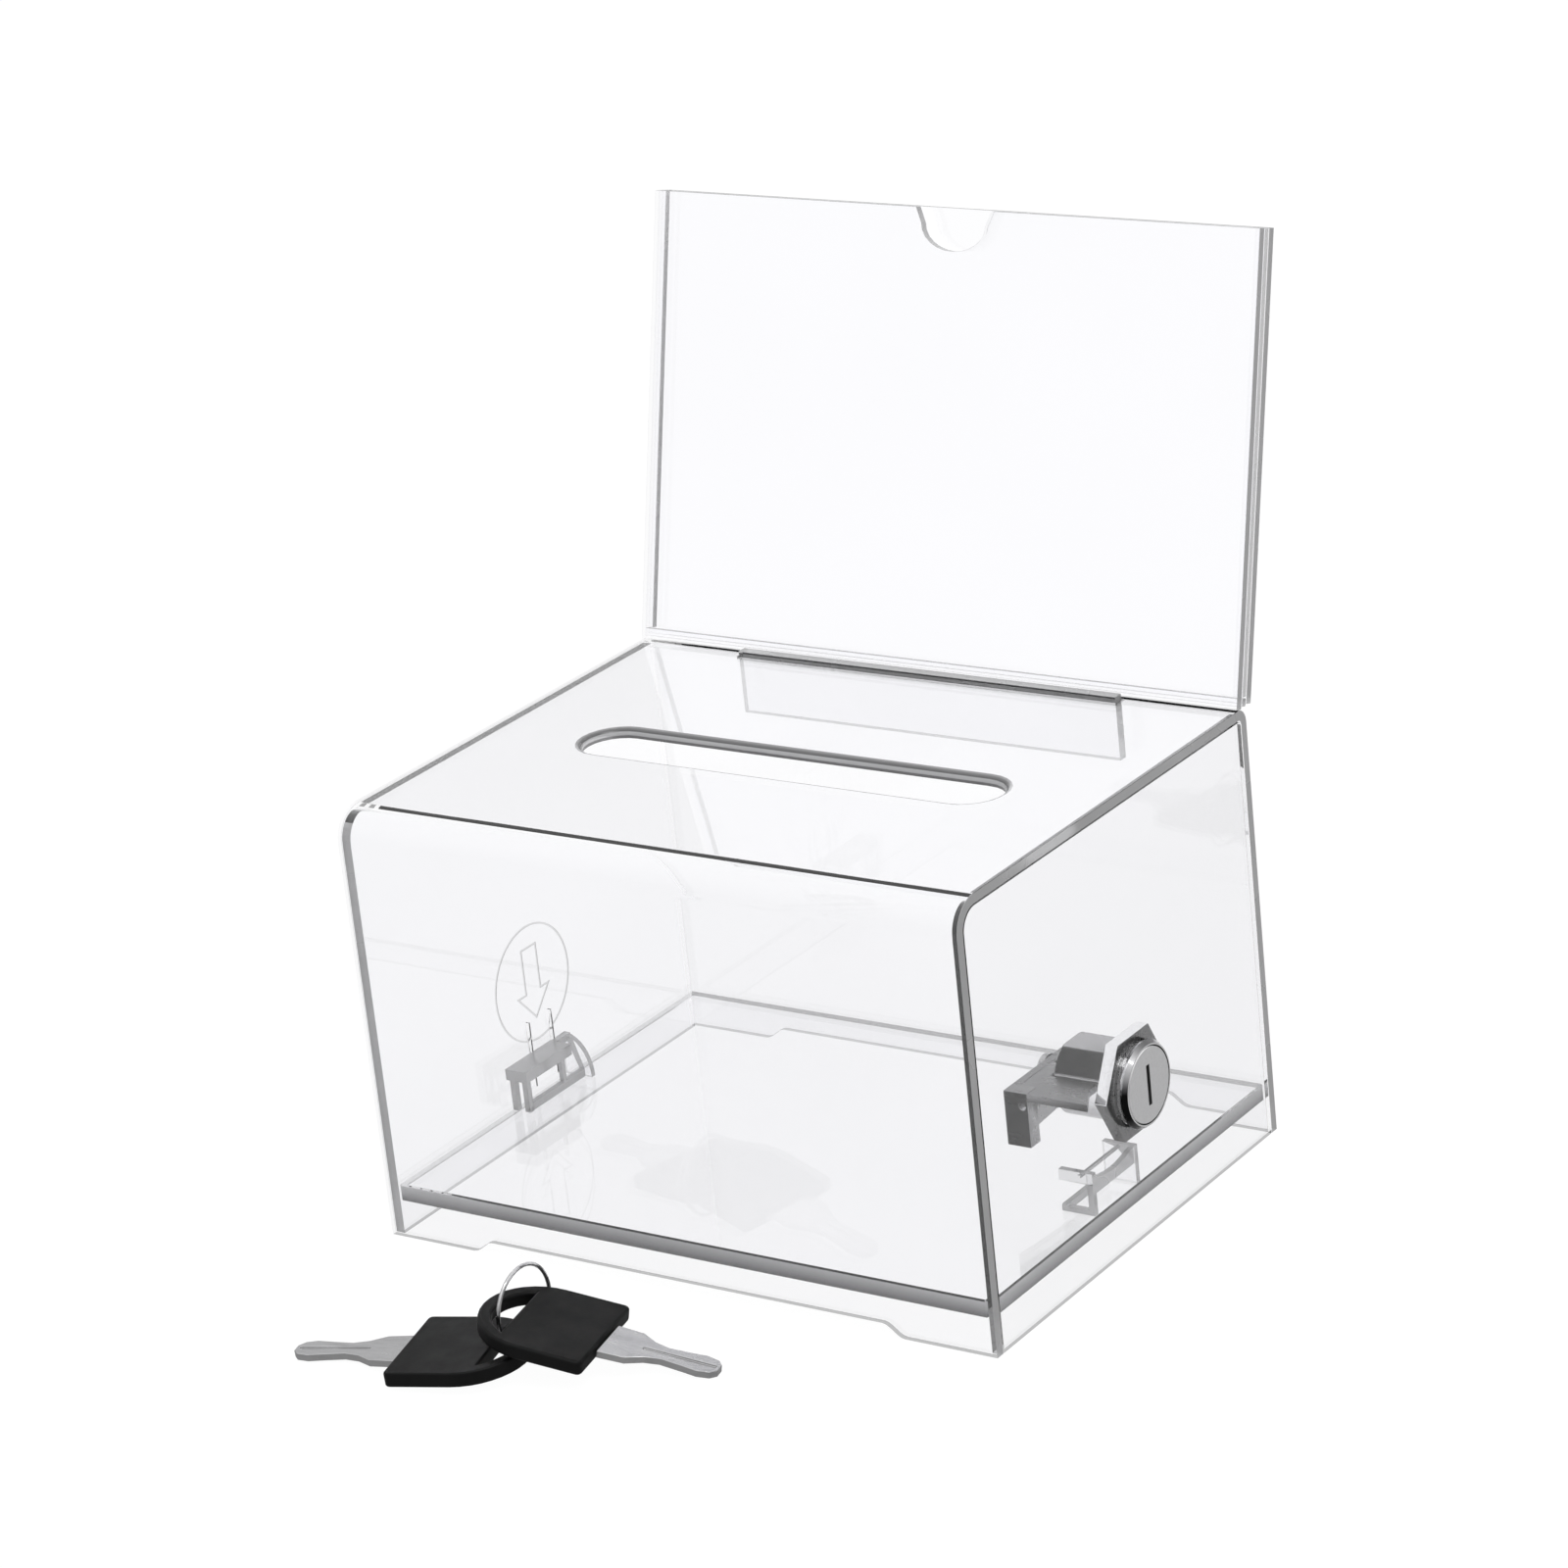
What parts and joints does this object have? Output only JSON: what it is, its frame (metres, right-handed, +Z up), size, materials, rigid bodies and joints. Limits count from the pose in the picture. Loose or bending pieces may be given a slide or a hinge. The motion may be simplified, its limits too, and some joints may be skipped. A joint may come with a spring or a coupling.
{
  "type": "donation box",
  "caption": "Clear tabletop collection box with a money slot, a leaning plug-in sign holder, a cam lock that frees the drop-out base, and keys on a ring.",
  "frame": {"origin": "bottom centre of the box, lock, sign holder and keys together, on the table", "axes": "+X towards the side with the lock, +Y towards the back where the sign leans, +Z up"},
  "size_m": [0.1618, 0.2112, 0.2041],
  "materials": {
    "acrylic": "clear, polished",
    "clip_plastic": "clear, moulded",
    "lock_chrome": "polished",
    "steel": "nickel, satin",
    "brass": "stamped",
    "black_plastic": "satin"
  },
  "bodies": {
    "base": {"base_floor": "acrylic", "left_clip": "clip_plastic", "right_clip": "clip_plastic"},
    "case": {"box_shell": "acrylic", "left_side_panel": "acrylic", "right_side_panel": "acrylic", "lock_housing": "lock_chrome", "lock_nut": "lock_chrome"},
    "sign_holder": {"sign_front_pane": "acrylic", "sign_rear_pane": "acrylic", "sign_left_spacer": "acrylic", "sign_right_spacer": "acrylic", "sign_bottom_spacer": "acrylic", "sign_tab": "acrylic"},
    "lock_core": {"lock_plug": "lock_chrome", "lock_cam": "lock_chrome", "cam_screw": "steel", "lock_wafer_1": "brass", "lock_wafer_2": "brass", "lock_wafer_3": "brass", "lock_wafer_4": "brass"},
    "keys": {"key_blade_left": "steel", "key_head_left": "black_plastic", "key_blade_right": "steel", "key_head_right": "black_plastic", "key_ring": "steel"}
  },
  "joints": [
    {"name": "case_lift", "type": "slide", "parent": "base", "child": "case", "axis": [0, 0, 1], "range_m": [0, 0.03]},
    {"name": "sign_lift", "type": "slide", "parent": "case", "child": "sign_holder", "axis": [0, 0, 1], "range_m": [0, 0.04]},
    {"name": "lock_turn", "type": "hinge", "parent": "case", "child": "lock_core", "pos_m": [0.0791, 0.02233, 0.0349], "axis": [-1, 0, 0], "range_deg": [0, 90]},
    {"name": "keys_lift", "type": "slide", "parent": "base", "child": "keys", "axis": [0, 0, 1], "range_m": [0, 0.05]}
  ]
}
